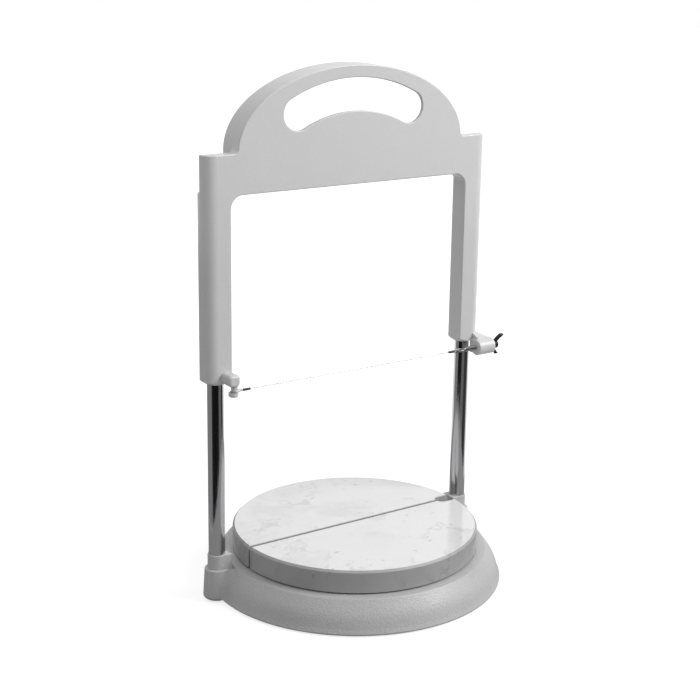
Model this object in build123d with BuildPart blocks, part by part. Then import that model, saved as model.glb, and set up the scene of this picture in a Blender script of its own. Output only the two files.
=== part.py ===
from build123d import *
import os
from math import acos, atan2, cos, hypot, radians, sin

os.makedirs("parts", exist_ok=True)

# Wire cheese board: a split marble board on a hollow cast base, two steel columns, and a cast
# lifting frame that slides on them and carries the cutting wire down between the marble halves.
# Millimetres, +Z up, origin on the table under the middle of the board, front towards -Y.

# Marble board
marble_r = 122.3
marble_top = 55.0
marble_thick = 22.0
marble_chamfer = 2.0
slot_width = 3.0
slot_chamfer = 0.6
notch_r = 7.0
notch_in = 13.3            # notch centre, in from the marble's rim
pad_thick = 1.5
pad_r = 9.0
pad_in = 55.0              # pad circle, in from the marble's rim

# Columns
column_r = 8.0
column_out = 23.2          # column axis, out from the marble's rim
spigot_shoulder = 2.0      # the spigot is this much smaller in radius than the column
tip_chamfer = 1.5

# Base casting
base_wall = 4.6
deck_thick = 5.0
rim_gap = 0.8              # the rim hangs this far above the table
ledge_rise = 0.4
ledge_round = 0.8
boss_round = 4.0
boss_ledge = 2.9           # ledge round the collar
boss_flare = 1.8           # the boss is this much wider at its foot than at the ledge
boss_valley = 5.0          # fillet between a boss and the skirt
collar_wall = 1.1          # shoulder round the column's foot
collar_side = 3.2          # metal between the column and the collar's flat inner side
collar_rise = 15.0
collar_round = 0.8
screw_web = 6.0            # metal between the washer seat and the end of the spigot

# Frame casting
travel = 171.0
landing_gap = 0.5
engagement = 39.0
head_room = 1.7
wall = 3.0
frame_front = 10.0
sleeve_front_wall = 2.0    # metal between a bush and the sleeve's flat front
sleeve_inner_wall = 2.4    # metal between a bush and the sleeve's flat inner side
sleeve_outer_wall = 5.1
sleeve_round = 12.0
sleeve_cone = 5.2          # cone at a sleeve's lower end
sleeve_cone_height = 3.6
mouth_height = 6.0
crossbar_depth = 38.0
sleeve_above_window = 2.3
shoulder_depth = 11.5
window_flange = 17.0
window_round = 12.5
arch_inset = 7.3           # foot of the arch, in from the window's side
arch_rise = 74.8
arch_depth = 28.0
edge_round = 1.2
arch_valley = 4.5          # fillet between the arch and a shoulder's top

# Finger slot in the arch
grip_r = 138.0
grip_below_top = 27.5
grip_width = 31.0
grip_half_angle = 27.0

# Guide bushes
bush_wall = 1.5
bush_len = 14.0
running_clearance = 0.06
bore_clearance = 0.6

# Wire, hook and tension screw
wire_r = 0.4
wire_below_leg = 4.0
crimp_len = 7.5
crimp_r = 1.3
crimp_bore_r = 0.88
crimp_from_rim = -1.8      # left crimp, out from the marble's rim
eye_from_rim = 0.6         # eye's near limb, out from the marble's rim
slack = 1.2                # travel of the tension screw
neck_r = 3.3
hook_tip_r = 4.7
hook_tip_height = 4.2
hook_tip_back = 1.1        # the tip's centre lies this far behind the neck's
hook_arm_height = 11.0
hook_drop = 16.5           # wire below the top of the hook's arm
hook_front = 5.5
hook_arm_width = 12.0
hook_in = 8.2              # hook's neck, in from the column axis
loop_gap = 0.06
tension_boss_r = 8.3
tension_boss_len = 20.5
tension_boss_out = 1.0     # boss's inner end, out from the column axis
tension_web_out = 4.5      # web's inner end, out from the column axis
tension_web_rise = 8.5     # web above the boss at its inner end
tension_screw_r = 2.5
tension_screw_clearance = 0.1
eye_wire_r = 1.1
eye_r = 3.6
washer_thick = 1.0
washer_r = 6.0
nut_hub_len = 6.0
nut_span = 24.5
nut_hub_r = 5.0
wing_thick = 3.0
screw_past_nut = 1.5
nut_turn = 20.0

# Feet and fasteners
foot_r = 10.0
foot_height = 8.0
foot_in = 22.0             # foot circle, in from the marble's rim
foot_screw_r = 2.0
foot_screw_grip = 12.0
column_bolt_r = 4.0
column_bolt_len = 26.0
bolt_head_r = 6.5
bolt_head_height = 5.3
bolt_head_gap = 3.0        # bolt head above the table
column_washer_r = 8.4
column_washer_thick = 1.6
fit_gap = 0.05

# Worked out from the sizes above
deck_top = marble_top - marble_thick - pad_thick
column_x = marble_r + column_out
spigot_r = column_r - spigot_shoulder
collar_r = column_r + collar_wall
collar_flat = column_r + collar_side
boss_r_top = collar_r + boss_ledge
boss_r_low = boss_r_top + boss_flare
bush_r = column_r + bush_wall
sleeve_flat = bush_r + sleeve_inner_wall
sleeve_r = bush_r + sleeve_outer_wall
column_y = frame_front + sleeve_front_wall + bush_r
collar_top = deck_top + collar_rise
leg_bottom = collar_top + landing_gap + travel
column_top = leg_bottom + engagement
shoulder_top = column_top + travel + head_room + wall
window_top = shoulder_top - crossbar_depth
sleeve_top = window_top + sleeve_above_window
window_half = column_x - sleeve_flat
arch_half = window_half - arch_inset
wire_z = leg_bottom - wire_below_leg
seat_z = bolt_head_gap + bolt_head_height + column_washer_thick
spigot_end = seat_z + screw_web
notch_x = marble_r - notch_in
hook_x = -column_x + hook_in
hook_tip_top = wire_z - wire_r - loop_gap * 10
tension_boss_x = column_x + tension_boss_out
tension_boss_end = tension_boss_x + tension_boss_len
eye_x = marble_r + eye_from_rim
crimp_left_end = -marble_r - crimp_from_rim - crimp_len
crimp_right_end = eye_x - slack - eye_wire_r - 1.4
screw_end = tension_boss_end + washer_thick + nut_hub_len + screw_past_nut
grip_middle = shoulder_top + arch_rise - grip_below_top - grip_r
sides = {"left": -1, "right": 1}
stand = (Align.CENTER, Align.CENTER, Align.MIN)
hang = (Align.CENTER, Align.CENTER, Align.MAX)


def bore(radius, depth):
    """A blind round hole that runs down from the place it is set at."""
    Cylinder(radius, depth, align=hang, mode=Mode.SUBTRACT)


def write(piece, name):
    piece.part.label = name
    export_step(piece.part, f"parts/{name}.step")


def sleeve_plan(side):
    """Plan of one sleeve: a circle with a flat front and a flat inner side."""
    with Locations((side * column_x, column_y)):
        Circle(sleeve_r)
    with Locations((side * (column_x - sleeve_r / 2), column_y - sleeve_r / 2)):
        Rectangle(sleeve_r, sleeve_r)
    reach = 3 * sleeve_r
    with Locations((side * (window_half + reach / 2), frame_front + reach / 2)):
        Rectangle(reach, reach, mode=Mode.INTERSECT)
    outward = Axis((0, 0, 0), (side, 0, 0))
    fillet(vertices().sort_by(outward)[-1], radius=sleeve_round)
    inner = vertices().group_by(outward)[0]
    fillet(inner.sort_by(Axis.Y)[-1], radius=wall)


# Base casting: a bell-shaped shell with a deck, two column bosses and four foot posts
# Each point of the skirt is out from the marble's rim and up as a share of the deck's height
skirt = [(10.0, 0.975), (13.8, 0.812), (17.9, 0.625), (20.7, 0.437), (22.5, 0.25), (24.5, 0.094)]
outer_skirt = [(marble_r + out, deck_top * up) for out, up in skirt]
inner_skirt = [(r - base_wall, z - deck_thick + base_wall / 2) for r, z in outer_skirt[:-1]]
rim_r = marble_r + 23.6
foot_spots = PolarLocations(marble_r - foot_in, 4, start_angle=45)
column_spots = Locations((-column_x, column_y), (column_x, column_y))

def valley_plan(side, turn, skirt_r, height):
    """Plan of the metal that rounds one corner between a boss and the skirt, at one height."""
    boss_r = boss_r_low - boss_flare * height / deck_top
    boss_out = hypot(column_x, column_y)
    arm = skirt_r + boss_valley
    reach = boss_r + boss_valley
    swing = acos((arm**2 + boss_out**2 - reach**2) / (2 * arm * boss_out))
    aim = atan2(column_y, column_x) + turn * swing
    boss = Vector(side * column_x, column_y)
    middle = Vector(side * arm * cos(aim), arm * sin(aim))
    on_skirt = middle * (skirt_r / arm)
    on_boss = boss + (middle - boss) * (boss_r / reach)
    in_wall = middle * ((skirt_r - base_wall * 0.8) / arm)
    halfway = ((on_skirt + on_boss) / 2 - middle).normalized()
    with BuildLine() as outline:
        ThreePointArc(on_skirt, middle + halfway * boss_valley, on_boss)
        Polyline(on_boss, boss, in_wall, on_skirt)
    make_face(outline.edges())


with BuildPart() as base_casting:
    with BuildSketch(Plane.XZ):
        with BuildLine():
            top = Line((0, deck_top), (marble_r + 9.2, deck_top))
            Line(top @ 1, outer_skirt[0])
            face_line = Spline(*outer_skirt)
            rim = Spline(face_line @ 1, (rim_r + 0.4, rim_gap + 0.6), (rim_r - 1.6, rim_gap))
            foot_line = Line(rim @ 1, (rim_r - base_wall, rim_gap))
            inside = Spline(foot_line @ 1, *reversed(inner_skirt))
            ceiling = Line(inside @ 1, (inner_skirt[0][0] - 4, deck_top - deck_thick))
            roof = Line(ceiling @ 1, (0, deck_top - deck_thick))
            Line(roof @ 1, top @ 0)
        make_face()
    revolve(axis=Axis.Z)
    for side in sides.values():
        outward = Axis((0, 0, 0), (side, 0, 0))
        with BuildSketch(Plane.XZ.offset(-column_y)):
            with BuildLine():
                Polyline(
                    (side * column_x, rim_gap),
                    (side * (column_x + boss_r_low), rim_gap),
                    (side * (column_x + boss_r_top), deck_top + ledge_rise),
                    (side * column_x, deck_top + ledge_rise),
                    close=True,
                )
            make_face()
            fillet(vertices().group_by(Axis.Y)[0].sort_by(outward)[-1], boss_round)
            fillet(vertices().group_by(Axis.Y)[-1].sort_by(outward)[-1], ledge_round)
        revolve(axis=Axis((side * column_x, column_y, 0), (0, 0, 1)))
    for side in sides.values():
        for turn in (-1, 1):
            for r, z in outer_skirt:
                with BuildSketch(Plane.XY.offset(z)):
                    valley_plan(side, turn, r, z)
            loft()
    with BuildSketch(Plane.XY.offset(deck_top - deck_thick)):
        for side in sides.values():
            with Locations((side * column_x, column_y)):
                Circle(collar_r)
            with Locations((side * (column_x - collar_flat / 2), column_y)):
                Rectangle(collar_flat, 2 * collar_r)
    extrude(amount=deck_thick + collar_rise)
    collar_tops = faces().group_by(Axis.Z)[-1]
    fillet(collar_tops.edges(), radius=collar_round)
    with BuildSketch(Plane.XY.offset(foot_height)):
        with foot_spots:
            Circle(foot_r - 2)
    extrude(until=Until.NEXT)
    with foot_spots:
        with Locations((0, 0, foot_height + foot_screw_grip + 1)):
            bore(foot_screw_r + fit_gap, foot_screw_grip + 1)
    with column_spots:
        with Locations((0, 0, collar_top)):
            bore(spigot_r + fit_gap, collar_top - spigot_end)
        with Locations((0, 0, spigot_end)):
            bore(column_bolt_r + 2 * fit_gap, screw_web)
        with Locations((0, 0, seat_z)):
            bore(column_washer_r + 8 * fit_gap, seat_z)
write(base_casting, "base_casting")

# Columns: ground steel with a spigot at the foot, tapped from below
for name, side in sides.items():
    with BuildPart() as column:
        with Locations((side * column_x, column_y, 0)):
            with Locations((0, 0, collar_top)):
                Cylinder(column_r, column_top - collar_top, align=stand)
                Cylinder(spigot_r, collar_top - spigot_end, align=hang)
            with Locations((0, 0, spigot_end + column_bolt_len)):
                bore(column_bolt_r + fit_gap, column_bolt_len)
        chamfer(faces().sort_by(Axis.Z)[-1].edges(), tip_chamfer)
        chamfer(faces().sort_by(Axis.Z)[0].edges().sort_by(SortBy.LENGTH)[-1], fit_gap * 10)
    write(column, f"column_{name}")

with BuildPart() as column_screws:
    with column_spots:
        with Locations((0, 0, seat_z - column_washer_thick)):
            Cylinder(column_bolt_r, column_bolt_len - 2 * fit_gap, align=stand)
            Cylinder(bolt_head_r, bolt_head_height, align=hang)
write(column_screws, "column_screws")

with BuildPart() as column_washers:
    with column_spots:
        with Locations((0, 0, seat_z)):
            Cylinder(column_washer_r, column_washer_thick, align=hang)
            bore(column_bolt_r + fit_gap, column_washer_thick)
write(column_washers, "column_washers")

# Rubber feet under the deck's posts, each held by a screw from below
with BuildPart() as rubber_feet:
    with foot_spots:
        Cylinder(foot_r, foot_height, align=stand)
    fillet(faces().group_by(Axis.Z)[0].edges(), radius=1.0)
    with foot_spots:
        with Locations((0, 0, foot_height)):
            bore(foot_screw_r + fit_gap, foot_height)
        with Locations((0, 0, foot_height / 2)):
            bore(foot_r / 2, foot_height / 2)
write(rubber_feet, "rubber_feet")

with BuildPart() as foot_screws:
    with foot_spots:
        with Locations((0, 0, foot_height / 2)):
            Cylinder(foot_screw_r, foot_height / 2 + foot_screw_grip, align=stand)
            Cylinder(foot_r / 2 - 4 * fit_gap, foot_height / 4, align=hang)
write(foot_screws, "foot_screws")

# Marble halves on their bonded pads
with BuildPart() as marble_pads:
    with PolarLocations(marble_r - pad_in, 8, start_angle=22.5):
        with Locations((0, 0, deck_top)):
            Cylinder(pad_r, pad_thick, align=stand)
write(marble_pads, "marble_pads")

for name, away in {"front": -1, "rear": 1}.items():
    with BuildPart() as marble_half:
        with BuildSketch(Plane.XY.offset(deck_top + pad_thick)):
            Circle(marble_r)
            with Locations((0, away * (slot_width / 2 + marble_r))):
                Rectangle(2 * marble_r, 2 * marble_r, mode=Mode.INTERSECT)
            with Locations((notch_x, 0)):
                Circle(notch_r, mode=Mode.SUBTRACT)
            with Locations((notch_x + marble_r / 2, 0)):
                Rectangle(marble_r, 2 * notch_r, mode=Mode.SUBTRACT)
        extrude(amount=marble_thick)
        top_edges = faces().sort_by(Axis.Z)[-1].edges().sort_by(SortBy.LENGTH)
        chamfer(top_edges[-1], marble_chamfer)
        slot_edges = faces().sort_by(Axis.Z)[-1].edges().sort_by(SortBy.LENGTH)[:-1]
        chamfer(slot_edges, slot_chamfer)
    write(marble_half, f"marble_{name}_half")

# Lifting frame: front plate, sleeves, shoulders, arch and the flanges behind them, open at the back
plate_low = window_top - window_round
tall = 4 * travel


def window_plan(grow, mode):
    """The frame's window with round top corners, grown outward; it runs on far below."""
    with Locations((0, window_top + grow - tall / 2)):
        RectangleRounded(2 * (window_half + grow), tall, window_round + grow, mode=mode)


def arch_outline():
    """The arch on top of the crossbar, with round valleys where it meets the shoulders."""
    with Locations((0, shoulder_top)):
        Ellipse(arch_half, arch_rise)
    with Locations((0, (plate_low + shoulder_top) / 2)):
        Rectangle(2 * column_x, shoulder_top - plate_low)
    valleys = [v for v in vertices() if abs(abs(v.X) - arch_half) < 1 and abs(v.Y - shoulder_top) < 1]
    fillet(valleys, radius=arch_valley)


def cut_below(height):
    with Locations((0, height - tall / 2)):
        Rectangle(tall, tall, mode=Mode.SUBTRACT)


with BuildPart() as frame_casting:
    for side in sides.values():
        with BuildSketch(Plane.XY.offset(leg_bottom)):
            sleeve_plan(side)
        extrude(amount=sleeve_top - leg_bottom)
    # Conical lower ends of the sleeves
    for side in sides.values():
        with BuildSketch(Plane.XZ.offset(-column_y)):
            with BuildLine():
                Polyline(
                    (side * (column_x + sleeve_r - sleeve_cone), leg_bottom),
                    (side * (column_x + sleeve_r + 2 * sleeve_cone), leg_bottom),
                    (side * (column_x + sleeve_r + 2 * sleeve_cone), leg_bottom + 3 * sleeve_cone_height),
                    close=True,
                )
            make_face()
        revolve(axis=Axis((side * column_x, column_y, 0), (0, 0, 1)), mode=Mode.SUBTRACT)
    # Front plate with the arch
    with BuildSketch(Plane.XZ.offset(-frame_front)):
        arch_outline()
        window_plan(0, Mode.SUBTRACT)
        cut_below(plate_low)
    extrude(amount=-wall)
    # Shoulders over the sleeves
    for side in sides.values():
        with BuildSketch(Plane.XY.offset(sleeve_top)):
            sleeve_plan(side)
            with Locations((side * (arch_half + column_x) / 2, frame_front + shoulder_depth)):
                Rectangle(column_x - arch_half, 2 * shoulder_depth)
            with Locations((side * column_x, frame_front + shoulder_depth / 2)):
                Rectangle(6 * sleeve_r, shoulder_depth, mode=Mode.INTERSECT)
        extrude(amount=shoulder_top - sleeve_top)
    # Flange round the window's top and corners
    with BuildSketch(Plane.XZ.offset(-frame_front)):
        window_plan(wall, Mode.ADD)
        window_plan(0, Mode.SUBTRACT)
        cut_below(plate_low)
    extrude(amount=-window_flange)
    # Flange round the arch and the ribs that carry it down to the crossbar
    with BuildSketch(Plane.XZ.offset(-frame_front)):
        with Locations((0, shoulder_top)):
            Ellipse(arch_half, arch_rise)
            Ellipse(arch_half - wall, arch_rise - wall, mode=Mode.SUBTRACT)
        cut_below(shoulder_top - wall)
    extrude(amount=-arch_depth)
    for side in sides.values():
        with BuildSketch(Plane.YZ.offset(side * (arch_half - wall / 2))):
            with BuildLine():
                Polyline(
                    (frame_front, shoulder_top),
                    (frame_front + arch_depth, shoulder_top),
                    (frame_front + window_flange, window_top + wall),
                    (frame_front, window_top),
                    close=True,
                )
            make_face()
        extrude(amount=wall / 2, both=True)
    # Round valleys between the arch and the shoulders' tops
    with BuildSketch(Plane.XZ.offset(-frame_front)):
        arch_outline()
        with Locations((0, shoulder_top)):
            Rectangle(2 * (arch_half + arch_valley), 3 * arch_valley, mode=Mode.INTERSECT)
            Ellipse(arch_half - wall, arch_rise - wall, mode=Mode.SUBTRACT)
        cut_below(shoulder_top - wall)
    extrude(amount=-shoulder_depth)
    # Pockets behind the shoulders
    for side in sides.values():
        with BuildSketch(Plane.XY.offset(sleeve_top)):
            with Locations((side * column_x, column_y)):
                Circle(sleeve_r - wall)
            with Locations((side * (arch_half + column_x) / 2, frame_front + wall + shoulder_depth)):
                Rectangle(column_x - arch_half, 2 * shoulder_depth)
            with Locations((side * (column_x + sleeve_r) / 2, frame_front + wall + shoulder_depth)):
                Rectangle(column_x + sleeve_r, 2 * shoulder_depth, mode=Mode.INTERSECT)
        extrude(amount=shoulder_top - wall - sleeve_top, mode=Mode.SUBTRACT)
    # Finger slot
    with BuildSketch(Plane.XZ.offset(-frame_front)):
        with BuildLine() as grip_line:
            CenterArc((0, grip_middle), grip_r, 90 - grip_half_angle, 2 * grip_half_angle)
        SlotArc(grip_line.edges()[0], grip_width)
    extrude(amount=-wall, mode=Mode.SUBTRACT)
    # Rounded front edges of the window and sleeves, the arch and shoulders, and the slot
    level = [e for e in edges() if e.bounding_box().size.Y < fit_gap / 10]
    front = [e.center() for e in level]
    rounded = [
        e
        for e, c in zip(level, front)
        if abs(c.Y - frame_front) < fit_gap
        and (c.Z > shoulder_top - fit_gap or abs(c.X) < window_half + fit_gap)
    ]
    fillet(rounded, radius=edge_round)
    # Hook on the left sleeve: an arm, a round neck for the wire's loop and a wider tip
    with BuildSketch(Plane.XZ.offset(-frame_front - wall / 3)):
        with Locations((-column_x + hook_arm_width / 2, wire_z + hook_drop - hook_arm_height / 2)):
            RectangleRounded(hook_arm_width, hook_arm_height, hook_arm_height / 3)
    extrude(amount=frame_front + wall / 3 + hook_front)
    fillet(faces().sort_by(Axis.Y)[0].edges(), radius=hook_arm_height / 4)
    with Locations((hook_x, 0, hook_tip_top - hook_tip_height / 2)):
        Cylinder(neck_r, hook_drop - hook_arm_height + hook_tip_height, align=stand)
    with Locations((hook_x - hook_tip_back, 0, hook_tip_top)):
        Cylinder(hook_tip_r, hook_tip_height, align=hang)
    fillet(edges().group_by(Axis.Z)[0], radius=hook_tip_height * 0.45)
    # Tension boss on the right sleeve, and a web whose top falls away from the sleeve
    with BuildSketch(Plane.XZ):
        with Locations((tension_boss_x + tension_boss_len / 2, wire_z + tension_boss_r / 2)):
            Rectangle(tension_boss_len, tension_boss_r)
        fillet(vertices().group_by(Axis.Y)[-1], radius=edge_round)
    revolve(axis=Axis((0, 0, wire_z), (1, 0, 0)))
    with BuildSketch(Plane.XZ.offset(-frame_front - wall / 3)):
        with Locations((tension_boss_x + tension_boss_len / 2, wire_z)):
            Rectangle(tension_boss_len - 2 * edge_round, 2 * tension_boss_r - 2 * edge_round)
    extrude(amount=frame_front + wall / 3)
    boss_top = wire_z + tension_boss_r
    web_ends = {
        column_x + tension_web_out: (column_y - wall, leg_bottom + mouth_height, boss_top + tension_web_rise),
        tension_boss_end - edge_round: (frame_front - edge_round, wire_z + wall, boss_top - fit_gap),
    }
    for place, (back, low, high) in web_ends.items():
        with BuildSketch(Plane.YZ.offset(place)):
            with BuildLine():
                Polyline((0, wire_z), (back, low), (back, high), (0, boss_top - fit_gap), close=True)
            make_face()
    loft(ruled=True)
    # Bores for the bushes and the tension screw, and mouths for the columns
    for side in sides.values():
        with Locations((side * column_x, column_y, sleeve_top)):
            bore(bush_r, sleeve_top - leg_bottom - mouth_height)
        with Locations((side * column_x, column_y, leg_bottom + mouth_height)):
            bore(column_r + bore_clearance, mouth_height)
    with Locations(Plane((tension_boss_end, 0, wire_z), x_dir=(0, 1, 0), z_dir=(1, 0, 0))):
        bore(tension_screw_r + tension_screw_clearance, tension_boss_len)
write(frame_casting, "frame_casting")

# Guide bushes, pressed into the sleeves from above
bush_floors = {"lower": leg_bottom + mouth_height, "upper": column_top - bush_len - tip_chamfer}
for name, side in sides.items():
    for level, floor in bush_floors.items():
        with BuildPart() as bush:
            with Locations((side * column_x, column_y, floor)):
                Cylinder(bush_r, bush_len, align=stand)
                Cylinder(column_r + running_clearance, bush_len, align=stand, mode=Mode.SUBTRACT)
            chamfer(edges().filter_by(GeomType.CIRCLE).group_by(SortBy.RADIUS)[-1], fit_gap * 10)
        write(bush, f"bush_{name}_{level}")

# Cutting wire: one length, looped round the hook's neck and through the screw's eye
strand = wire_r + loop_gap / 2
loop_r = neck_r + wire_r + loop_gap
reach = crimp_left_end - hook_x
lean = atan2(strand, reach) + acos(loop_r / hypot(strand, reach))
touch_x = hook_x + loop_r * cos(lean)
touch_y = loop_r * sin(lean)
eye_loop_r = eye_wire_r + wire_r + 2 * loop_gap
open_x = eye_x - slack - wire_r
tail = crimp_len * 0.6
join = crimp_len * 0.9
with BuildPart() as cutting_wire:
    with BuildLine(Plane.XY.offset(wire_z)) as wire_path:
        Polyline((crimp_left_end + tail, -strand), (crimp_left_end, -strand), (touch_x, -touch_y))
        ThreePointArc((touch_x, -touch_y), (hook_x - loop_r, 0), (touch_x, touch_y))
        Polyline(
            (touch_x, touch_y),
            (crimp_left_end, strand),
            (crimp_left_end + tail, strand),
            (crimp_left_end + join, 0),
            (crimp_right_end - join, 0),
            (crimp_right_end - tail, 0, strand),
            (crimp_right_end, 0, strand),
            (open_x, 0, eye_loop_r),
            (eye_x, 0, eye_loop_r),
        )
        ThreePointArc((eye_x, 0, eye_loop_r), (eye_x + eye_loop_r, 0, 0), (eye_x, 0, -eye_loop_r))
        Polyline(
            (eye_x, 0, -eye_loop_r),
            (open_x, 0, -eye_loop_r),
            (crimp_right_end, 0, -strand),
            (crimp_right_end - tail, 0, -strand),
        )
    with BuildSketch(Plane(wire_path.line @ 0, z_dir=wire_path.line % 0)):
        Circle(wire_r)
    sweep(transition=Transition.RIGHT)
write(cutting_wire, "cutting_wire")

# Crimped ferrules that close the two loops; each tapers towards the wire's straight run
for name, (end, inward) in {"left": (crimp_left_end, 1), "right": (crimp_right_end, -1)}.items():
    with BuildPart() as crimp:
        with BuildSketch(Plane.XZ):
            with BuildLine():
                Polyline(
                    (end, wire_z + crimp_bore_r),
                    (end, wire_z + crimp_r),
                    (end + inward * crimp_len * 0.6, wire_z + crimp_r),
                    (end + inward * crimp_len, wire_z + crimp_bore_r + 0.3),
                    (end + inward * crimp_len, wire_z + crimp_bore_r),
                    close=True,
                )
            make_face()
        revolve(axis=Axis((0, 0, wire_z), (1, 0, 0)))
    write(crimp, f"wire_crimp_{name}")

# Tension screw with its eye, the washer and the wing nut
along = Plane((eye_x, 0, wire_z), x_dir=(0, 1, 0), z_dir=(1, 0, 0))
with BuildPart() as tension_screw:
    with Locations((eye_x + eye_r, 0, wire_z)):
        Torus(eye_r, eye_wire_r)
    with Locations(along.offset(2 * eye_r)):
        Cylinder(tension_screw_r, screw_end - eye_x - 2 * eye_r, align=stand)
    chamfer(faces().sort_by(Axis.X)[-1].edges(), 0.5)
write(tension_screw, "tension_screw")

with BuildPart() as tension_washer:
    with Locations(along.offset(tension_boss_end - eye_x)):
        Cylinder(washer_r, washer_thick, align=stand)
        Cylinder(tension_screw_r + tension_screw_clearance, washer_thick, align=stand, mode=Mode.SUBTRACT)
write(tension_washer, "tension_washer")

nut_x = tension_boss_end + washer_thick + fit_gap
tilt = radians(nut_turn)
wing_plane = Plane((nut_x, 0, wire_z), x_dir=(1, 0, 0), z_dir=(0, -cos(tilt), -sin(tilt)))
with BuildPart() as wing_nut:
    with Locations(along.offset(nut_x - eye_x)):
        Cone(nut_hub_r, nut_hub_r * 0.8, nut_hub_len, align=stand)
    with BuildSketch(wing_plane):
        for up in (-1, 1):
            with BuildLine():
                Polyline(
                    (0.6, 0),
                    (0.6, up * nut_hub_r * 0.9),
                    (3.5, up * nut_span * 0.38),
                    (6.5, up * nut_span / 2),
                    (13.0, up * nut_span / 2),
                    (13.0, up * nut_span * 0.36),
                    (nut_hub_len, up * nut_hub_r * 0.8),
                    (nut_hub_len, 0),
                    close=True,
                )
            make_face()
    extrude(amount=wing_thick / 2, both=True)
    with Locations(along.offset(nut_x - eye_x)):
        Cylinder(tension_screw_r + fit_gap, 4 * nut_hub_len, align=stand, mode=Mode.SUBTRACT)
write(wing_nut, "wing_nut")
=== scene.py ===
import bmesh
import bpy
from math import cos, radians, sin
from mathutils import Matrix, Vector


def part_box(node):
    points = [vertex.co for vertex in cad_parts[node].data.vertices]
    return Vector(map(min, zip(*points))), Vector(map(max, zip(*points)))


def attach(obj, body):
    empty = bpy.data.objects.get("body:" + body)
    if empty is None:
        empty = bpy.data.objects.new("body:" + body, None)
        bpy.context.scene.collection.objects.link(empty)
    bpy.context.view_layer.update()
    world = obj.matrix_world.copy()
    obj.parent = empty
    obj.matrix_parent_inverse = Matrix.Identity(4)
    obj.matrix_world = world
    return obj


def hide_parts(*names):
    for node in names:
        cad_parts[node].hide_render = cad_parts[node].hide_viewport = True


# Wire cheese board: finishes of the cast parts, marble and steel, and the small fastener details.
# Metres, in the model's own frame: +Z up, the front of the board towards -Y.
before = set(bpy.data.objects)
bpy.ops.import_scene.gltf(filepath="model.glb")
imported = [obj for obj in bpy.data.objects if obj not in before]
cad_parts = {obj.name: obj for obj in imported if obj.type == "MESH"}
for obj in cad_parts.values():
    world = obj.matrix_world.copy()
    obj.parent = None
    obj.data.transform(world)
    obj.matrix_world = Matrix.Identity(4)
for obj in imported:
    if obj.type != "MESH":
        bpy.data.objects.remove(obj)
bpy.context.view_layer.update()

MM = 0.001

# Camera, matched to the photograph: sizes in its pixels, places in metres
photo_width = 700
focal_pixels = 1524.4
image_centre = (400.0, 330.0)
camera_place = (-0.8025, -1.1776, 0.6474)
camera_yaw = radians(35.903)
camera_pitch = radians(15.421)
camera_roll = radians(1.372)
sensor_width = 36.0


def node(tree, kind, values=None, **settings):
    """Adds a node. Its values are numbers, colours or the outputs of other nodes."""
    made = tree.nodes.new(kind)
    for name, value in settings.items():
        setattr(made, name, value)
    for name, value in (values or {}).items():
        if isinstance(value, bpy.types.NodeSocket):
            tree.links.new(value, made.inputs[name])
        else:
            made.inputs[name].default_value = value
    return made


def maths(tree, operation, first, second=0.5, clamp=False):
    return node(tree, "ShaderNodeMath", {0: first, 1: second}, operation=operation, use_clamp=clamp).outputs[0]


def ramp(tree, value, stops, interpolation="LINEAR"):
    """A colour ramp through (position, grey or colour) stops."""
    made = node(tree, "ShaderNodeValToRGB", {"Fac": value})
    made.color_ramp.interpolation = interpolation
    points = made.color_ramp.elements
    while len(points) < len(stops):
        points.new(1.0)
    for point, (place, tone) in zip(points, stops):
        point.position = place
        point.color = tone if isinstance(tone, tuple) else (tone, tone, tone, 1)
    return made.outputs["Color"]


def blend(tree, amount, low, high, mode="MIX"):
    made = node(tree, "ShaderNodeMix", data_type="RGBA", blend_type=mode)
    for socket, value in ((made.inputs[0], amount), (made.inputs[6], low), (made.inputs[7], high)):
        if isinstance(value, bpy.types.NodeSocket):
            tree.links.new(value, socket)
        else:
            socket.default_value = value
    return made.outputs[2]


def noise(tree, vector, scale, detail=2.0, rough=0.5, distortion=0.0):
    values = {"Vector": vector, "Scale": scale, "Detail": detail, "Roughness": rough, "Distortion": distortion}
    return node(tree, "ShaderNodeTexNoise", values).outputs["Fac"]


def start_group(name, inputs, outputs):
    """A shader node group with named sockets: (name, kind, default)."""
    group = bpy.data.node_groups.new(name, "ShaderNodeTree")
    for label, kind, default in inputs:
        socket = group.interface.new_socket(label, in_out="INPUT", socket_type=kind)
        socket.default_value = default
    for label, kind in outputs:
        group.interface.new_socket(label, in_out="OUTPUT", socket_type=kind)
    return group, group.nodes.new("NodeGroupInput").outputs, group.nodes.new("NodeGroupOutput").inputs


FLOAT = "NodeSocketFloat"
COLOUR = "NodeSocketColor"
GREY = (0.5, 0.5, 0.5, 1)
WHITE = (1, 1, 1, 1)
SPECK_BLACK = (0.08, 0.08, 0.08, 1)
RUBBED_ENAMEL = (0.62, 0.62, 0.62, 1)
RUBBED_STEEL = (0.55, 0.55, 0.56, 1)
DUST = (0.3, 0.3, 0.3, 1)
SKIN_OUTPUTS = (("Colour", COLOUR), ("Roughness", FLOAT), ("Height", FLOAT))


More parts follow.
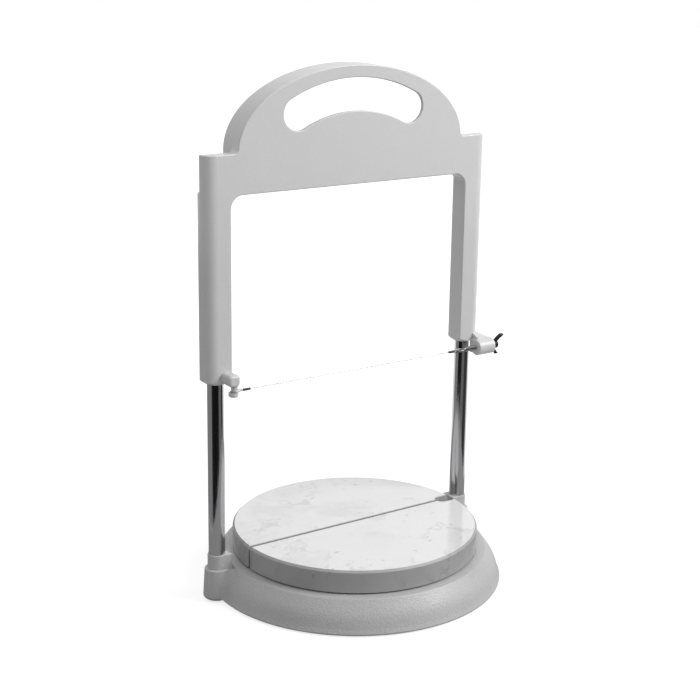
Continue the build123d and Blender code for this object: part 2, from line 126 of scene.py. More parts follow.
def cast_enamel_group():
    """Sprayed enamel over a casting: dimples, a faint cloudy tone and small specks. The colour is also darker in the
    dimple hollows and lighter on their rims, following the bump: painted shade and highlight.
    """
    inputs = (
        ("Colour", COLOUR, GREY), ("Dimples per Metre", FLOAT, 600), ("Dimple Depth", FLOAT, 0.5),
        ("Mottle and Hollow Shade", FLOAT, 0.05), ("Specks", FLOAT, 0.1), ("Roughness", FLOAT, 0.4),
    )
    tree, given, result = start_group("cast enamel", inputs, SKIN_OUTPUTS)
    place = node(tree, "ShaderNodeTexCoord").outputs["Object"]
    warp = noise(tree, place, 90, 2)
    spread = {"Vector": place, "Scale": given["Dimples per Metre"], "Smoothness": 0.7}
    cells = node(tree, "ShaderNodeTexVoronoi", spread, feature="SMOOTH_F1").outputs["Distance"]
    dimples = ramp(tree, cells, ((0.05, 0.0), (0.75, 1.0)), "EASE")
    fine = maths(tree, "MULTIPLY", noise(tree, place, 2600, 2), 0.12)
    height = maths(tree, "ADD", maths(tree, "MULTIPLY", dimples, given["Dimple Depth"]), fine)
    tree.links.new(height, result["Height"])
    cloud = maths(tree, "SUBTRACT", noise(tree, place, 24, 3), 0.5)
    tone = maths(tree, "ADD", 1.0, maths(tree, "MULTIPLY", cloud, given["Mottle and Hollow Shade"]))
    # Painted shade and highlight: the tone follows the dimple bump, darker in the hollows and lighter on the rims
    hollow_shade = maths(tree, "SUBTRACT", dimples, 0.5)
    hollow_shade = maths(tree, "MULTIPLY", hollow_shade, maths(tree, "MULTIPLY", given["Mottle and Hollow Shade"], 0.8))
    tone = maths(tree, "ADD", tone, hollow_shade)
    colour = blend(tree, 1.0, given["Colour"], tone, "MULTIPLY")
    speck = ramp(tree, noise(tree, place, 900, 0), ((0.72, 0.0), (0.78, 1.0)))
    colour = blend(tree, maths(tree, "MULTIPLY", speck, given["Specks"]), colour, SPECK_BLACK)
    tree.links.new(colour, result["Colour"])
    patches = maths(tree, "MULTIPLY", maths(tree, "SUBTRACT", warp, 0.5), 0.18)
    tree.links.new(maths(tree, "ADD", given["Roughness"], patches), result["Roughness"])
    return tree


def edge_rub_group():
    """A mask of the outer edges, broken up where hands and cloths have rubbed them."""
    inputs = (("Width", FLOAT, 0.001), ("Break Up", FLOAT, 0.5))
    tree, given, result = start_group("edge rub", inputs, (("Mask", FLOAT),))
    sharp = node(tree, "ShaderNodeNewGeometry").outputs["Normal"]
    soft = node(tree, "ShaderNodeBevel", {"Radius": given["Width"]}, samples=6).outputs["Normal"]
    turn = node(tree, "ShaderNodeVectorMath", {0: sharp, 1: soft}, operation="DOT_PRODUCT").outputs["Value"]
    edge = ramp(tree, maths(tree, "SUBTRACT", 1.0, turn), ((0.01, 0.0), (0.16, 1.0)))
    place = node(tree, "ShaderNodeTexCoord").outputs["Object"]
    patch = ramp(tree, noise(tree, place, 160, 3, 0.6), ((0.38, 0.0), (0.62, 1.0)))
    kept = maths(tree, "SUBTRACT", 1.0, maths(tree, "MULTIPLY", given["Break Up"], patch))
    tree.links.new(maths(tree, "MULTIPLY", edge, kept), result["Mask"])
    return tree


def metal_grain_group():
    """Fine tool marks, stretched along the axes whose stretch is small, with faint smears."""
    inputs = (
        ("Colour", COLOUR, GREY), ("Stretch X", FLOAT, 1), ("Stretch Y", FLOAT, 1), ("Stretch Z", FLOAT, 1),
        ("Lines per Metre", FLOAT, 900), ("Roughness", FLOAT, 0.2), ("Smears", FLOAT, 0.1),
    )
    tree, given, result = start_group("metal grain", inputs, SKIN_OUTPUTS)
    place = node(tree, "ShaderNodeTexCoord").outputs["Object"]
    stretch = node(tree, "ShaderNodeCombineXYZ", {0: given["Stretch X"], 1: given["Stretch Y"], 2: given["Stretch Z"]})
    pulled = node(tree, "ShaderNodeVectorMath", {0: place, 1: stretch.outputs[0]}, operation="MULTIPLY").outputs[0]
    lines = noise(tree, pulled, given["Lines per Metre"], 3, 0.6)
    smear = noise(tree, place, 45, 3, 0.6, 0.6)
    tree.links.new(lines, result["Height"])
    scratched = maths(tree, "MULTIPLY", maths(tree, "SUBTRACT", lines, 0.5), 0.12)
    smeared = maths(tree, "MULTIPLY", maths(tree, "SUBTRACT", smear, 0.45), given["Smears"])
    rough = maths(tree, "ADD", given["Roughness"], scratched)
    tree.links.new(maths(tree, "ADD", rough, smeared, clamp=True), result["Roughness"])
    tone = maths(tree, "ADD", 0.9, maths(tree, "MULTIPLY", lines, 0.2))
    tree.links.new(blend(tree, 1.0, given["Colour"], tone, "MULTIPLY"), result["Colour"])
    return tree


MARBLE_WHITE = (0.76, 0.76, 0.76, 1)
MARBLE_CLOUD = (0.56, 0.56, 0.57, 1)
MARBLE_VEIN = (0.4, 0.4, 0.41, 1)
MARBLE_FLECK = (0.24, 0.24, 0.25, 1)
# Tone multiplied into the sides of the marble: painted shade, as the sides catch less light than the top
MARBLE_SIDE_PAINTED_SHADE = (0.5, 0.5, 0.5, 1)

ENAMEL = cast_enamel_group()
EDGE_RUB = edge_rub_group()
METAL_GRAIN = metal_grain_group()


def start_material(name, **shader):
    """A material with its surface shader; constants are set on the shader's own sockets."""
    material = bpy.data.materials.new(name)
    material.use_nodes = True
    tree = material.node_tree
    tree.nodes.clear()
    constants = {label.replace("_", " "): value for label, value in shader.items()}
    surface = node(tree, "ShaderNodeBsdfPrincipled", constants)
    node(tree, "ShaderNodeOutputMaterial", {"Surface": surface.outputs[0]})
    return material, tree, surface.inputs


def group_node(tree, group, values):
    made = tree.nodes.new("ShaderNodeGroup")
    made.node_tree = group
    for label, value in values.items():
        made.inputs[label].default_value = value
    return made.outputs


def bump(tree, height, distance):
    return node(tree, "ShaderNodeBump", {"Height": height, "Distance": distance, "Strength": 1.0}).outputs[0]


def enamel(name, colour, dimples, depth, bump_height, roughness, mottle_and_hollow_shade, specks, worn):
    material, tree, surface = start_material(name, Specular_IOR_Level=0.5)
    skin = group_node(tree, ENAMEL, {
        "Colour": colour, "Dimples per Metre": dimples, "Dimple Depth": depth,
        "Mottle and Hollow Shade": mottle_and_hollow_shade, "Specks": specks, "Roughness": roughness,
    })
    rub = group_node(tree, EDGE_RUB, {"Width": 1.2 * MM, "Break Up": 0.7})["Mask"]
    tone = blend(tree, maths(tree, "MULTIPLY", rub, worn), skin["Colour"], RUBBED_ENAMEL)
    tree.links.new(tone, surface["Base Color"])
    tree.links.new(skin["Roughness"], surface["Roughness"])
    tree.links.new(bump(tree, skin["Height"], bump_height), surface["Normal"])
    return material


def steel(name, colour, stretch, lines, roughness, smears, bump_height, worn=0.0):
    material, tree, surface = start_material(name, Metallic=1.0)
    values = {"Colour": colour, "Lines per Metre": lines, "Roughness": roughness, "Smears": smears}
    values.update(zip(("Stretch X", "Stretch Y", "Stretch Z"), stretch))
    grain = group_node(tree, METAL_GRAIN, values)
    tone = grain["Colour"]
    if worn:
        rub = group_node(tree, EDGE_RUB, {"Width": 0.5 * MM, "Break Up": 0.5})["Mask"]
        tone = blend(tree, maths(tree, "MULTIPLY", rub, worn), tone, RUBBED_STEEL)
    tree.links.new(tone, surface["Base Color"])
    tree.links.new(grain["Roughness"], surface["Roughness"])
    tree.links.new(bump(tree, grain["Height"], bump_height), surface["Normal"])
    return material


def carrara():
    """White marble with clouds, thin veins and flecks: a polished top and honed edges. Faces that do not look up are
    painted darker than the top: painted shade.
    """
    material, tree, surface = start_material("polished white marble", Specular_IOR_Level=0.5)
    place = node(tree, "ShaderNodeTexCoord").outputs["Object"]
    wander = {"Vector": place, "Scale": 9.0, "Detail": 4.0, "Roughness": 0.6}
    drift = node(tree, "ShaderNodeTexNoise", wander).outputs["Color"]
    shifted = node(tree, "ShaderNodeVectorMath", {0: drift, 1: (0.09, 0.09, 0.09)}, operation="MULTIPLY").outputs[0]
    bent = node(tree, "ShaderNodeVectorMath", {0: place, 1: shifted}, operation="ADD").outputs[0]
    normal = node(tree, "ShaderNodeNewGeometry").outputs["Normal"]
    facing = node(tree, "ShaderNodeSeparateXYZ", {0: normal}).outputs["Z"]
    top = ramp(tree, facing, ((0.8, 0.0), (0.97, 1.0)))
    edge = ramp(tree, facing, ((0.2, 0.0), (0.4, 1.0), (0.9, 1.0), (0.97, 0.0)))
    cloud = ramp(tree, noise(tree, bent, 15, 6, 0.66), ((0.42, 0.0), (0.72, 1.0)), "EASE")
    haze = noise(tree, place, 60, 5, 0.6)
    ridge = maths(tree, "ABSOLUTE", maths(tree, "SUBTRACT", noise(tree, bent, 16, 4, 0.6), 0.5))
    vein = ramp(tree, ridge, ((0.0, 1.0), (0.03, 0.0)), "EASE")
    vein = maths(tree, "MULTIPLY", vein, ramp(tree, noise(tree, place, 22, 2), ((0.45, 0.0), (0.62, 1.0))))
    fleck = ramp(tree, noise(tree, place, 120, 3, 0.65), ((0.64, 0.0), (0.72, 1.0)))
    fleck = maths(tree, "MULTIPLY", fleck, ramp(tree, noise(tree, place, 14, 1), ((0.42, 0.0), (0.6, 1.0))))
    crystal = maths(tree, "ADD", 0.96, maths(tree, "MULTIPLY", noise(tree, place, 1800, 2), 0.08))
    tone = blend(tree, maths(tree, "MULTIPLY", cloud, 0.5), MARBLE_WHITE, MARBLE_CLOUD)
    tone = blend(tree, maths(tree, "MULTIPLY", haze, 0.18), tone, MARBLE_CLOUD)
    tone = blend(tree, maths(tree, "MULTIPLY", vein, 0.35), tone, MARBLE_VEIN)
    tone = blend(tree, maths(tree, "MULTIPLY", fleck, 0.5), tone, MARBLE_FLECK)
    tone = blend(tree, 1.0, tone, crystal, "MULTIPLY")
    # Painted shade: faces that do not look up take the darker side tone
    side = blend(tree, 1.0, tone, MARBLE_SIDE_PAINTED_SHADE, "MULTIPLY")
    tree.links.new(blend(tree, top, side, tone), surface["Base Color"])
    smear = noise(tree, place, 30, 3, 0.6, 0.5)
    polish = maths(tree, "ADD", 0.04, maths(tree, "MULTIPLY", smear, 0.1))
    tree.links.new(maths(tree, "ADD", polish, maths(tree, "MULTIPLY", edge, 0.4)), surface["Roughness"])
    tree.links.new(bump(tree, noise(tree, place, 500, 3), 0.01 * MM), surface["Normal"])
    return material


def moulded(name, colour, roughness, grain, bump_height):
    """Rubber or plastic with a fine moulded grain and a little dust."""
    material, tree, surface = start_material(name, Specular_IOR_Level=0.4)
    place = node(tree, "ShaderNodeTexCoord").outputs["Object"]
    skin = noise(tree, place, grain, 3, 0.6)
    dust = ramp(tree, noise(tree, place, 70, 4, 0.6), ((0.5, 0.0), (0.8, 1.0)))
    tree.links.new(blend(tree, maths(tree, "MULTIPLY", dust, 0.25), colour, DUST), surface["Base Color"])
    tree.links.new(maths(tree, "ADD", roughness, maths(tree, "MULTIPLY", skin, 0.15)), surface["Roughness"])
    tree.links.new(bump(tree, skin, bump_height), surface["Normal"])
    return material


base_enamel = enamel("hammer enamel", (0.47, 0.47, 0.47, 1), dimples=620, depth=1.0, bump_height=0.12 * MM,
                     roughness=0.42, mottle_and_hollow_shade=0.12, specks=0.15, worn=0.25)
frame_enamel = enamel("smooth enamel", (0.6, 0.6, 0.6, 1), dimples=900, depth=0.25, bump_height=0.06 * MM,
                      roughness=0.34, mottle_and_hollow_shade=0.05, specks=0.05, worn=0.15)
marble = carrara()
column_steel = steel("ground column steel", (0.55, 0.55, 0.56, 1), stretch=(1, 1, 0.02), lines=900,
                     roughness=0.12, smears=0.1, bump_height=0.004 * MM)
zinc = steel("zinc plate", (0.55, 0.56, 0.57, 1), stretch=(1, 1, 1), lines=500,
             roughness=0.34, smears=0.2, bump_height=0.01 * MM, worn=0.2)
wire_steel = steel("drawn wire steel", (0.36, 0.36, 0.37, 1), stretch=(0.03, 1, 1), lines=1500,
                   roughness=0.22, smears=0.1, bump_height=0.003 * MM)
screw_steel = steel("zinc screw steel", (0.26, 0.26, 0.26, 1), stretch=(0.2, 1, 1), lines=700,
                    roughness=0.36, smears=0.2, bump_height=0.008 * MM, worn=0.3)
black_steel = steel("blackened steel", (0.05, 0.05, 0.05, 1), stretch=(1, 1, 1), lines=800,
                    roughness=0.4, smears=0.2, bump_height=0.02 * MM, worn=0.6)
rubber = moulded("black rubber", (0.02, 0.02, 0.02, 1), roughness=0.7, grain=700, bump_height=0.04 * MM)
bush_plastic = moulded("bush plastic", (0.03, 0.03, 0.03, 1), roughness=0.45, grain=900, bump_height=0.02 * MM)

finishes = {
    "base_casting": base_enamel, "frame_casting": frame_enamel,
    "marble_front_half": marble, "marble_rear_half": marble,
    "column_left": column_steel, "column_right": column_steel,
    "column_screws": zinc, "column_washers": zinc, "foot_screws": zinc, "tension_washer": zinc,
    "rubber_feet": rubber, "marble_pads": rubber,
    "bush_left_lower": bush_plastic, "bush_left_upper": bush_plastic,
    "bush_right_lower": bush_plastic, "bush_right_upper": bush_plastic,
    "cutting_wire": wire_steel, "tension_screw": screw_steel,
    "wire_crimp_left": black_steel, "wire_crimp_right": black_steel, "wing_nut": black_steel,
}
for name, finish in finishes.items():
    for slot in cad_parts[name].material_slots:
        slot.material = finish


# Small steel pieces, modelled in place of the plain CAD ones
ALONG_X = (0, radians(90), 0)
WING_TILT = radians(20)
THREAD_PITCH = 0.8 * MM
SAME = 0.001 * MM


def start_piece(name, primitive, place=(0, 0, 0), turn=(0, 0, 0), **shape):
    """Adds a primitive with nothing else selected, and puts its place and turn into its mesh."""
    bpy.ops.object.select_all(action="DESELECT")
    primitive(location=place, rotation=turn, **shape)
    piece = bpy.context.object
    piece.name = name
    bpy.ops.object.transform_apply(location=True, rotation=True, scale=True)
    return piece


def pick(kind, test):
    """Selects the faces, edges or vertices of the open mesh for which test is true."""
    bpy.ops.mesh.select_mode(type=kind)
    bpy.ops.mesh.select_all(action="DESELECT")
    mesh = bmesh.from_edit_mesh(bpy.context.object.data)
    members = {"FACE": mesh.faces, "EDGE": mesh.edges, "VERT": mesh.verts}[kind]
    for member in members:
        if test(member):
            member.select_set(True)
    bmesh.update_edit_mesh(bpy.context.object.data)


def push_out(move):
    """Extrudes the selected faces by a move."""
    bpy.ops.mesh.extrude_region_move(TRANSFORM_OT_translate={"value": move})


def open_mesh():
    bpy.ops.object.mode_set(mode="EDIT")


def close_mesh():
    """Merges doubles, turns the faces outwards and leaves edit mode."""
    bpy.ops.mesh.select_all(action="SELECT")
    bpy.ops.mesh.remove_doubles(threshold=0.01 * MM)
    bpy.ops.mesh.normals_make_consistent(inside=False)
    bpy.ops.object.mode_set(mode="OBJECT")


def apply_modifier(piece, kind, **settings):
    modifier = piece.modifiers.new(kind.lower(), kind)
    for label, value in settings.items():
        setattr(modifier, label, value)
    bpy.ops.object.modifier_apply(modifier=modifier.name)


def join_pieces(name, *pieces):
    bpy.ops.object.select_all(action="DESELECT")
    for piece in pieces:
        piece.select_set(True)
    bpy.context.view_layer.objects.active = pieces[0]
    bpy.ops.object.join()
    pieces[0].name = name
    return pieces[0]


def put(piece, place, turn=(0, 0, 0)):
    """Moves and turns a piece, and puts that into its mesh."""
    bpy.ops.object.select_all(action="DESELECT")
    piece.select_set(True)
    bpy.context.view_layer.objects.active = piece
    piece.location = place
    piece.rotation_euler = turn
    bpy.ops.object.transform_apply(location=True, rotation=True, scale=True)


def copy_of(piece, name):
    twin = piece.copy()
    twin.data = piece.data.copy()
    twin.name = name
    bpy.context.collection.objects.link(twin)
    return twin


def smooth(piece, angle=35):
    bpy.ops.object.select_all(action="DESELECT")
    piece.select_set(True)
    bpy.context.view_layer.objects.active = piece
    bpy.ops.object.shade_smooth_by_angle(angle=radians(angle))


def finish_piece(piece, node_name, body, finish, angle=35):
    smooth(piece, angle)
    piece.data.materials.clear()
    piece.data.materials.append(finish)
    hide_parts(node_name)
    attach(piece, body)


def round_edges(test, offset, segments=2):
    pick("EDGE", test)
    bpy.ops.mesh.bevel(offset=offset, segments=segments, affect="EDGES")


def cut_with(piece, cutter):
    """Cuts a piece with a second one, which is then thrown away."""
    bpy.context.view_layer.objects.active = piece
    apply_modifier(piece, "BOOLEAN", object=cutter, operation="DIFFERENCE", solver="EXACT")
    bpy.data.objects.remove(cutter)


def make_wing_nut():
    """A hub with two blunt wings that sweep outwards, tilted as in the photograph."""
    low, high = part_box("wing_nut")
    centre = (low[0], 0, (low[2] + high[2]) / 2)
    hub_r = 5.0 * MM
    hub_depth = 6.0 * MM
    hub = start_piece("wing_nut_hub", bpy.ops.mesh.primitive_cylinder_add, (hub_depth / 2, 0, 0), ALONG_X,
                      vertices=32, radius=hub_r, depth=hub_depth)
    open_mesh()
    pick("FACE", lambda face: face.normal.x > 0.9)
    bpy.ops.transform.resize(value=(1, 0.8, 0.8), center_override=(hub_depth, 0, 0))
    round_edges(lambda edge: abs(edge.verts[0].co.x - edge.verts[1].co.x) < SAME, 0.5 * MM, 3)
    close_mesh()
    wing = start_piece("wing", bpy.ops.mesh.primitive_cube_add, (hub_depth / 2, 0, 3.0 * MM), size=1.0 * MM,
                       scale=(4.4, 3.3, 3.0))
    open_mesh()
    across = 3.0
    height = 4.5
    # Steps of the wing in mm: outwards, upwards, then how much its end grows along X and Y
    for out, up, grow_x, grow_y in ((1.6, 2.6, 1.0, 1.04), (2.2, 2.5, 1.05, 1.04), (2.4, 2.4, 1.0, 1.04)):
        pick("FACE", lambda face: face.normal.z > 0.6 and face.calc_center_median().z > (height - 0.2) * MM)
        push_out((out * MM, 0, up * MM))
        across += out
        height += up
        bpy.ops.transform.resize(value=(grow_x, grow_y, 1), center_override=(across * MM, 0, height * MM))
    close_mesh()
    apply_modifier(wing, "BEVEL", width=0.7 * MM, segments=4, limit_method="ANGLE", angle_limit=radians(40))
    lower = copy_of(wing, "wing_lower")
    put(lower, (0, 0, 0), (radians(180), 0, 0))
    nut = join_pieces("wing_nut_made", hub, wing, lower)
    put(nut, centre, (WING_TILT, 0, 0))
    finish_piece(nut, "wing_nut", "nut", black_steel, 40)


def make_thread(name, start, end, root, pitch):
    """A screw thread along X: one ridge wound round the axis by the screw modifier."""
    ridge = start_piece(name, bpy.ops.mesh.primitive_plane_add, (start + pitch / 2, 0, root + pitch / 2),
                        (radians(90), 0, 0), size=pitch)
    open_mesh()
    pick("VERT", lambda point: point.co.z > root + pitch / 2)
    bpy.ops.mesh.merge(type="CENTER")
    bpy.ops.mesh.select_all(action="SELECT")
    bpy.ops.transform.resize(value=(1, 1, 0.55), center_override=(start, 0, root))
    bpy.ops.mesh.delete(type="ONLY_FACE")
    pick("EDGE", lambda edge: max(point.co.z for point in edge.verts) < root + pitch * 0.1)
    bpy.ops.mesh.delete(type="EDGE")
    bpy.ops.object.mode_set(mode="OBJECT")
    turns = int((end - start) / pitch) - 1
    apply_modifier(ridge, "SCREW", axis="X", screw_offset=pitch, iterations=turns, steps=20, render_steps=20,
                   use_merge_vertices=True, merge_threshold=0.01 * MM)
    open_mesh()
    close_mesh()
    return ridge


def make_eye_screw():
    """A ring spun from a round bar, a necked shank and a thread that runs to the end."""
    low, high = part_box("tension_screw")
    bar = 1.1 * MM
    ring_r = 3.6 * MM
    root = 2.06 * MM
    ring_x = low[0] + ring_r + bar
    shank_start = ring_x + ring_r + 0.2 * MM
    ring = start_piece("screw_eye", bpy.ops.mesh.primitive_circle_add, (ring_x + ring_r, 0, 0),
                       (radians(90), 0, 0), vertices=16, radius=bar, fill_type="NOTHING")
    open_mesh()
    bpy.ops.mesh.select_all(action="SELECT")
    bpy.ops.mesh.spin(steps=48, angle=radians(360), center=(ring_x, 0, 0), axis=(0, 0, 1))
    close_mesh()
    shank_length = high[0] - shank_start
    shank = start_piece("screw_shank", bpy.ops.mesh.primitive_cylinder_add,
                        (shank_start + shank_length / 2, 0, 0), ALONG_X, vertices=32, radius=root, depth=shank_length)
    open_mesh()
    # Rings round the shank: how far along it in mm, and the size there
    for along, size in ((1.0, 0.74), (2.6, 1.16)):
        bpy.ops.mesh.select_all(action="SELECT")
        bpy.ops.mesh.bisect(plane_co=(shank_start + along * MM, 0, 0), plane_no=(1, 0, 0))
        pick("VERT", lambda point: abs(point.co.x - shank_start - along * MM) < SAME)
        bpy.ops.transform.resize(value=(1, size, size), center_override=(shank_start, 0, 0))
    pick("VERT", lambda point: point.co.x < shank_start + 0.1 * MM)
    bpy.ops.transform.resize(value=(1, 0.6, 0.6), center_override=(shank_start, 0, 0))
    round_edges(lambda edge: min(point.co.x for point in edge.verts) > high[0] - SAME, 0.4 * MM)
    close_mesh()
    thread = make_thread("screw_thread", shank_start + 3.0 * MM, high[0] - 0.2 * MM, root, THREAD_PITCH)
    screw = join_pieces("eye_screw", ring, shank, thread)
    put(screw, (0, 0, (low[2] + high[2]) / 2))
    finish_piece(screw, "tension_screw", "screw", screw_steel, 30)


def make_crimp(side, inner, pinch):
    """A short tube squeezed twice over the wire's two strands, drawn in at its inner end."""
    name = "wire_crimp_" + side
    low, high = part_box(name)
    centre = tuple((a + b) / 2 for a, b in zip(low, high))
    length = high[0] - low[0]
    tube = start_piece("crimp_" + side, bpy.ops.mesh.primitive_cylinder_add, centre, ALONG_X,
                       vertices=24, radius=(high[2] - low[2]) / 2, depth=length)
    open_mesh()
    # Shares of the length, from the middle
    for share in (-0.36, -0.3, -0.22, -0.14, -0.06, 0.06, 0.14, 0.22, 0.3, 0.36):
        bpy.ops.mesh.select_all(action="SELECT")
        bpy.ops.mesh.bisect(plane_co=(centre[0] + share * length, 0, 0), plane_no=(1, 0, 0))
    for share in (-0.22, 0.22):
        pick("VERT", lambda point: abs(point.co.x - centre[0] - share * length) < 0.1 * length)
        bpy.ops.transform.resize(value=pinch, center_override=centre)
    pick("VERT", lambda point: (point.co.x - centre[0]) * inner > 0.49 * length)
    bpy.ops.transform.resize(value=(1, 0.86, 0.86), center_override=centre)

    def end_rim(edge):
        middle = sum(point.co.x for point in edge.verts) / 2
        return abs(abs(middle - centre[0]) - length / 2) < SAME

    round_edges(end_rim, 0.2 * MM)
    close_mesh()
    apply_modifier(tube, "SUBSURF", levels=1, render_levels=1)
    finish_piece(tube, name, "frame", black_steel, 50)


def make_screw(name, head_r, head_height, shank_r, length):
    """A screw with its head down: a round head with a rounded rim and a plain shank above it."""
    screw = start_piece(name, bpy.ops.mesh.primitive_cylinder_add, (0, 0, head_height / 2), vertices=48,
                        radius=head_r, depth=head_height)
    open_mesh()
    pick("FACE", lambda face: face.normal.z > 0.9)
    bpy.ops.mesh.inset(thickness=head_r - shank_r, depth=0)
    push_out((0, 0, length - head_height))
    round_edges(lambda edge: max(point.co.z for point in edge.verts) < SAME, head_height * 0.2, 3)
    round_edges(lambda edge: min(point.co.z for point in edge.verts) > length - SAME, shank_r * 0.2)
    close_mesh()
    return screw


def make_column_screws():
    """Socket screws that hold the columns from below."""
    low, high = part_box("column_screws")
    screw = make_screw("column_screw", 6.5 * MM, 5.3 * MM, 4.0 * MM, high[2] - low[2])
    socket = start_piece("socket", bpy.ops.mesh.primitive_cylinder_add, vertices=6, radius=3.45 * MM, depth=6.4 * MM)
    cut_with(screw, socket)
    twin = copy_of(screw, "column_screw_twin")
    for piece, column in ((screw, "column_left"), (twin, "column_right")):
        foot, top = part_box(column)
        put(piece, ((foot[0] + top[0]) / 2, (foot[1] + top[1]) / 2, low[2]))
    finish_piece(join_pieces("column_screws_made", screw, twin), "column_screws", "base", zinc)


def make_foot_screws():
    """Cross-recess screws sunk in the rubber feet."""
    low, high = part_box("foot_screws")
    head_r = 4.8 * MM
    screws = [make_screw("foot_screw", head_r, 2.0 * MM, 2.0 * MM, high[2] - low[2])]
    for turn in (45, 135):
        blade = start_piece("recess", bpy.ops.mesh.primitive_cube_add, turn=(0, 0, radians(turn)), size=1.0 * MM,
                            scale=(4.6, 1.0, 2.4))
        cut_with(screws[0], blade)
    screws += [copy_of(screws[0], "foot_screw_twin") for _ in range(3)]
    for screw, (right, back) in zip(screws, ((1, 1), (1, -1), (-1, 1), (-1, -1))):
        place = (right * (high[0] - head_r), back * (high[1] - head_r), low[2])
        put(screw, place, (0, 0, radians(20 * right + 35 * back)))
    finish_piece(join_pieces("foot_screws_made", *screws), "foot_screws", "base", zinc)


make_wing_nut()
make_eye_screw()
make_crimp("left", 1, (1, 1, 0.86))
make_crimp("right", -1, (1, 0.86, 1))
make_column_screws()
make_foot_screws()


# Studio: a pale floor, a white surround, soft lamps and cards that only reflections see
CARD_RADIUS = 0.33


def camera_or_reflection(tree, in_reflections=None):
    """1 for camera, glossy and transmission rays, 0 for the rays that light the object."""
    path = node(tree, "ShaderNodeLightPath").outputs
    glossy = path["Is Glossy Ray"]
    if in_reflections is not None:
        glossy = maths(tree, "MULTIPLY", glossy, in_reflections)
    seen = maths(tree, "MAXIMUM", path["Is Camera Ray"], glossy)
    return maths(tree, "MAXIMUM", seen, path["Is Transmission Ray"])


def studio_world(low, high):
    """White to the camera and in reflections. As light it is dimmer near the horizon than overhead."""
    world = bpy.data.worlds.new("white studio")
    bpy.context.scene.world = world
    world.use_nodes = True
    tree = world.node_tree
    tree.nodes.clear()
    seen = camera_or_reflection(tree)
    sky = node(tree, "ShaderNodeTexCoord").outputs["Generated"]
    rise = node(tree, "ShaderNodeSeparateXYZ", {0: sky}).outputs["Z"]
    ambient = ramp(tree, rise, ((0.0, low), (0.7, high)), "EASE")
    strength = maths(tree, "MAXIMUM", seen, ambient)
    light = node(tree, "ShaderNodeBackground", {"Color": WHITE, "Strength": strength})
    node(tree, "ShaderNodeOutputWorld", {"Surface": light.outputs[0]})


def studio_floor():
    """Pale floor that whitens away from the board. Reflections see its glow only beyond the cards."""
    bpy.ops.object.select_all(action="DESELECT")
    bpy.ops.mesh.primitive_plane_add(size=12.0, location=(0, 0, -0.0002))
    floor = bpy.context.object
    floor.name = "floor"
    material, tree, surface = start_material("pale floor", Roughness=0.9, Specular_IOR_Level=0.1)
    surface["Base Color"].default_value = (0.34, 0.34, 0.34, 1)
    place = node(tree, "ShaderNodeTexCoord").outputs["Object"]
    away = node(tree, "ShaderNodeVectorMath", {0: place}, operation="LENGTH").outputs["Value"]
    glow = ramp(tree, away, ((0.3, 0.76), (1.0, 1.0)))
    beyond_cards = ramp(tree, away, ((CARD_RADIUS - 0.01, 0.0), (CARD_RADIUS + 0.01, 1.0)))
    seen = camera_or_reflection(tree, in_reflections=beyond_cards)
    tree.links.new(maths(tree, "MULTIPLY", seen, glow), surface["Emission Strength"])
    surface["Emission Color"].default_value = WHITE
    floor.data.materials.append(material)


def reflection_cards(height, tones):
    """Grey cards round the board, seen by reflections only, so that the bright steel has dark bands."""
    bpy.ops.object.select_all(action="DESELECT")
    bpy.ops.mesh.primitive_cylinder_add(vertices=96, radius=CARD_RADIUS, depth=height, end_fill_type="NOTHING",
                                        location=(0, 0, height / 2))
    cards = bpy.context.object
    cards.name = "reflection_cards"
    material = bpy.data.materials.new("card tones")
    material.use_nodes = True
    tree = material.node_tree
    tree.nodes.clear()
    place = node(tree, "ShaderNodeTexCoord").outputs["Object"]
    turn = node(tree, "ShaderNodeTexGradient", {"Vector": place}, gradient_type="RADIAL").outputs["Fac"]
    tone = ramp(tree, turn, [(share, light) for share, light, _ in tones], "EASE")
    solid = ramp(tree, turn, [(share, cover) for share, _, cover in tones], "EASE")
    glow = node(tree, "ShaderNodeEmission", {"Color": tone, "Strength": 1.0}).outputs[0]
    clear = node(tree, "ShaderNodeBsdfTransparent").outputs[0]
    mix = node(tree, "ShaderNodeMixShader", {0: solid, 1: clear, 2: glow}).outputs[0]
    node(tree, "ShaderNodeOutputMaterial", {"Surface": mix})
    cards.data.materials.append(material)
    for sight in ("visible_camera", "visible_diffuse", "visible_shadow", "visible_transmission"):
        setattr(cards, sight, False)


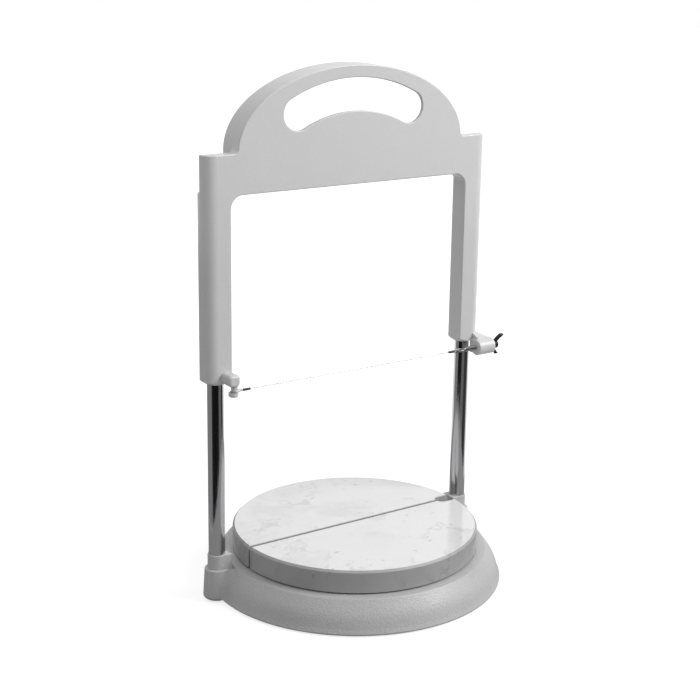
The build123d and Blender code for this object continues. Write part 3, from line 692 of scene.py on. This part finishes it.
def soft_lamp(name, place, aim, size, power):
    data = bpy.data.lights.new(name, "AREA")
    data.shape = "RECTANGLE"
    data.size, data.size_y = size
    data.energy = power
    lamp = bpy.data.objects.new(name, data)
    bpy.context.collection.objects.link(lamp)
    lamp.location = place
    lamp.rotation_mode = "QUATERNION"
    lamp.rotation_quaternion = (Vector(aim) - Vector(place)).to_track_quat("-Z", "Y")


def place_camera():
    ahead = Vector((sin(camera_yaw) * cos(camera_pitch), cos(camera_yaw) * cos(camera_pitch), -sin(camera_pitch)))
    level = Vector((cos(camera_yaw), -sin(camera_yaw), 0))
    above = level.cross(ahead)
    right = cos(camera_roll) * level + sin(camera_roll) * above
    up = cos(camera_roll) * above - sin(camera_roll) * level
    data = bpy.data.cameras.new("camera")
    data.sensor_width = sensor_width
    data.lens = focal_pixels * sensor_width / photo_width
    data.shift_x = (photo_width / 2 - image_centre[0]) / photo_width
    data.shift_y = (image_centre[1] - photo_width / 2) / photo_width
    camera = bpy.data.objects.new("camera", data)
    bpy.context.collection.objects.link(camera)
    turned = Matrix((right, up, -ahead)).transposed().to_4x4()
    camera.matrix_world = Matrix.Translation(camera_place) @ turned
    bpy.context.scene.camera = camera


studio_world(low=0.42, high=0.6)
studio_floor()
# Tones round the board: share of a turn from -X towards -Y, brightness, cover
reflection_cards(0.3, (
    (0.0, 0.1, 1.0), (0.03, 0.01, 1.0), (0.2, 0.01, 1.0), (0.24, 0.19, 1.0), (0.32, 0.19, 1.0), (0.365, 0.05, 1.0),
    (0.41, 0.05, 1.0), (0.46, 0.1, 1.0), (0.5, 0.3, 0.0), (0.78, 0.3, 0.0), (0.82, 0.3, 1.0), (0.97, 0.28, 1.0),
))
soft_lamp("key", place=(1.2, -1.2, 1.5), aim=(0, 0, 0.2), size=(1.0, 1.0), power=33)
soft_lamp("top", place=(-0.2, 0.3, 2.3), aim=(0, 0, 0.1), size=(1.8, 1.8), power=6)
place_camera()
bpy.context.scene.view_settings.view_transform = "Standard"
